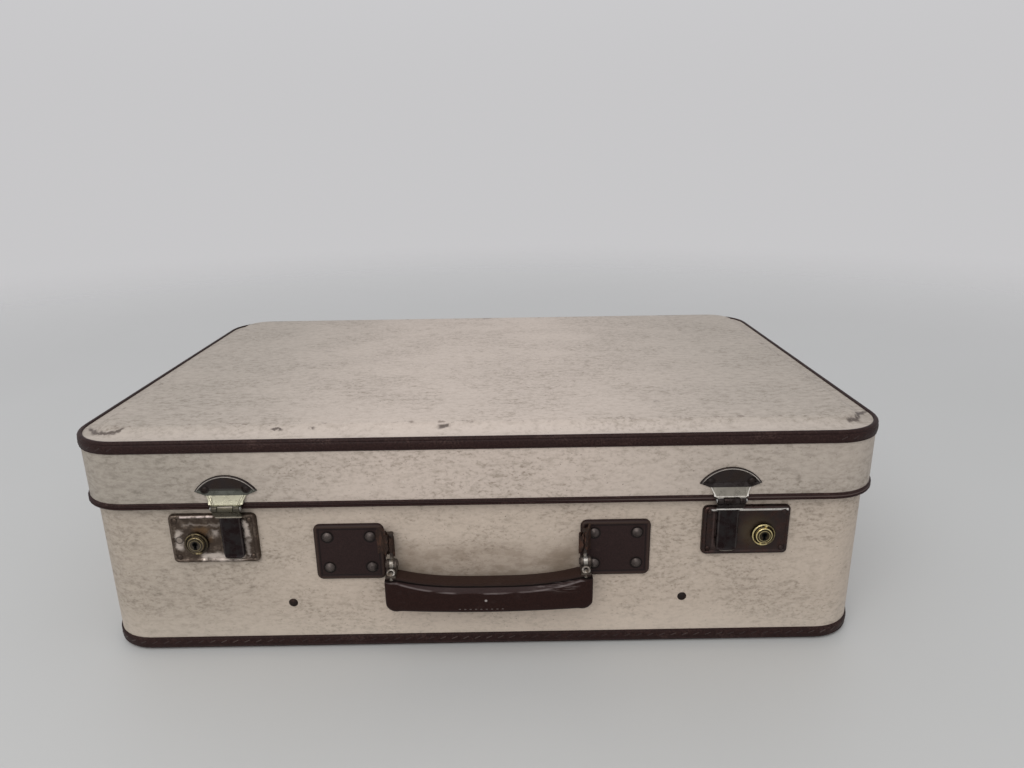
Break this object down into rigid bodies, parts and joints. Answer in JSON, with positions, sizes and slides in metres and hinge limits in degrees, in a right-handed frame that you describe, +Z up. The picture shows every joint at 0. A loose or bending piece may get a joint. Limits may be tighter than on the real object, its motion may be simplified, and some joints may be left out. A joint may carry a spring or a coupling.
{
  "type": "suitcase",
  "caption": "Vintage fibreboard suitcase with a telescoping hinged lid, brown bindings, hasp locks with key buttons and a swinging leather handle.",
  "frame": {"origin": "centre of the pressed field under the base panel, on the table", "axes": "+X to the right along the width, -Y towards the front with locks and handle, +Z up"},
  "size_m": [0.6028, 0.4179, 0.1841],
  "materials": {
    "cover": "mottled paper over fibreboard, satin, scuffed",
    "fibreboard": "raw pressed board, matt",
    "lining": "printed lining paper, matt",
    "binding": "stitched dark brown binding, satin",
    "pad_leather": "creased dark brown leather, worn edges",
    "grip_leather": "smooth handled leather, satin",
    "webbing": "woven cotton webbing",
    "brass": "tarnished brass",
    "worn_nickel": "worn nickel plate over brass",
    "dark_nickel": "smooth tarnished nickel",
    "brown_rivet": "brown enamelled heads",
    "steel": "dull plated steel"
  },
  "bodies": {
    "base": {"base_wall": "cover", "base_panel": "cover", "base_binding": "binding", "base_lining": "lining", "left_hinge_base_leaf": "steel", "right_hinge_base_leaf": "steel", "left_hinge_pin": "steel", "right_hinge_pin": "steel", "hinge_base_rivets": "steel", "left_lock_plate": "worn_nickel", "right_lock_plate": "worn_nickel", "lock_plate_rivets": "steel", "lock_backing_plates": "steel", "left_bolt_spring": "steel", "right_bolt_spring": "steel", "left_handle_pad": "pad_leather", "right_handle_pad": "pad_leather", "handle_pad_rivets": "steel", "handle_backing_plates": "steel", "left_handle_hook": "steel", "right_handle_hook": "steel", "left_front_strap": "webbing", "left_rear_strap": "webbing", "right_front_strap": "webbing", "right_rear_strap": "webbing", "left_strap_buckle": "steel", "right_strap_buckle": "steel", "packing_strap_rivets": "brown_rivet"},
    "lid": {"lid_wall": "cover", "lid_panel": "cover", "lid_top_binding": "binding", "lid_edge_binding": "binding", "lid_inner_band": "fibreboard", "lid_wall_lining": "lining", "lid_panel_lining": "lining", "hinge_lid_rivets": "steel", "catch_plate_rivets": "steel", "left_hinge_lid_leaf": "steel", "right_hinge_lid_leaf": "steel", "left_catch_plate": "worn_nickel", "right_catch_plate": "worn_nickel", "left_hasp_pin": "steel", "right_hasp_pin": "steel"},
    "left_hasp": {"left_hasp": "dark_nickel"},
    "right_hasp": {"right_hasp": "dark_nickel"},
    "left_bolt": {"left_lock_bolt": "brass"},
    "right_bolt": {"right_lock_bolt": "brass"},
    "left_plug": {"left_key_plug": "brass"},
    "right_plug": {"right_key_plug": "brass"},
    "handle": {"handle_core": "steel", "handle_strap": "grip_leather", "handle_grip": "grip_leather", "handle_tab_rivets": "brass", "left_handle_tab": "steel", "right_handle_tab": "steel", "left_handle_pin": "steel", "right_handle_pin": "steel"}
  },
  "joints": [
    {"name": "lid_hinge", "type": "hinge", "parent": "base", "child": "lid", "pos_m": [0, 0.2027, 0.1236], "axis": [-1, 0, 0], "range_deg": [0, 180]},
    {"name": "left_hasp_hinge", "type": "hinge", "parent": "lid", "child": "left_hasp", "pos_m": [-0.1835, -0.2026, 0.1257], "axis": [-1, 0, 0], "range_deg": [0, 150]},
    {"name": "right_hasp_hinge", "type": "hinge", "parent": "lid", "child": "right_hasp", "pos_m": [0.1835, -0.2026, 0.1257], "axis": [-1, 0, 0], "range_deg": [0, 150]},
    {"name": "left_bolt_slide", "type": "slide", "parent": "base", "child": "left_bolt", "axis": [-1, 0, 0], "range_m": [0, 0.005], "stiffness_N_per_m": 200, "springref_m": -0.005, "deforming": ["left_bolt_spring"]},
    {"name": "right_bolt_slide", "type": "slide", "parent": "base", "child": "right_bolt", "axis": [1, 0, 0], "range_m": [0, 0.005], "stiffness_N_per_m": 200, "springref_m": -0.005, "deforming": ["right_bolt_spring"]},
    {"name": "left_plug_turn", "type": "hinge", "parent": "left_bolt", "child": "left_plug", "pos_m": [-0.211, -0.1984, 0.0948], "axis": [0, 1, 0], "range_deg": [0, 90]},
    {"name": "right_plug_turn", "type": "hinge", "parent": "right_bolt", "child": "right_plug", "pos_m": [0.211, -0.1984, 0.0948], "axis": [0, 1, 0], "range_deg": [0, 90]},
    {"name": "handle_swing", "type": "hinge", "parent": "base", "child": "handle", "pos_m": [0.006, -0.2024, 0.078], "axis": [-1, 0, 0], "range_deg": [0, 90]}
  ]
}
